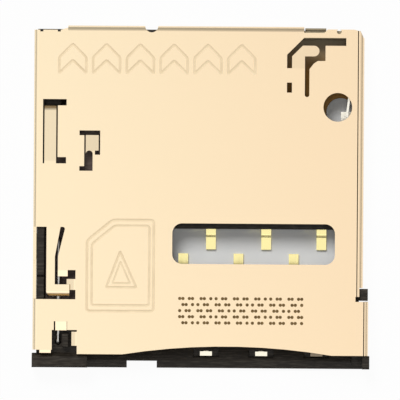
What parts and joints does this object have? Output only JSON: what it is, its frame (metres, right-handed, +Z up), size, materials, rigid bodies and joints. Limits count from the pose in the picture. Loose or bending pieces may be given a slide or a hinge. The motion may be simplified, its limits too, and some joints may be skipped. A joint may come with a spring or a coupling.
{
  "type": "push-push sim card socket",
  "caption": "Low push-push SIM card socket: gilt sheet cover with cut and bent spring tongues over a moulded base with spring contacts and a slider latched by a heart cam and a wire pin.",
  "frame": {"origin": "middle of the footprint, on the face that lies on the circuit board", "axes": "+Z up from the board, +Y the way the card goes in, +X to the right seen from the card's side"},
  "size_m": [0.0154, 0.0156, 0.0014],
  "materials": {
    "gold_sheet": "satin",
    "contact_gold": "polished",
    "black_resin": "matt",
    "slider_resin": "matt",
    "steel_wire": "drawn"
  },
  "bodies": {
    "socket": {"housing": "black_resin", "shell": "gold_sheet", "return_spring": "steel_wire", "rear_contact_1": "contact_gold", "rear_contact_2": "contact_gold", "rear_contact_3": "contact_gold", "front_contact_1": "contact_gold", "front_contact_2": "contact_gold", "front_contact_3": "contact_gold", "switch_blade": "contact_gold", "switch_terminal": "contact_gold"},
    "slider": {"slider": "slider_resin"},
    "cam_pin": {"cam_pin": "steel_wire"}
  },
  "joints": [
    {"name": "slider_push", "type": "slide", "parent": "socket", "child": "slider", "axis": [0, 1, 0], "range_m": [0, 0.003], "stiffness_N_per_m": 100, "springref_m": -0.003, "deforming": ["return_spring"]},
    {"name": "cam_pin_swing", "type": "hinge", "parent": "socket", "child": "cam_pin", "pos_m": [-0.00655, -0.00669, 0.00087], "axis": [0, 0, 1], "range_deg": [-5.53, 0]}
  ],
  "couplings": [
    {"joint": "cam_pin_swing", "follows": "slider_push", "rad_per_m": -32.03}
  ]
}
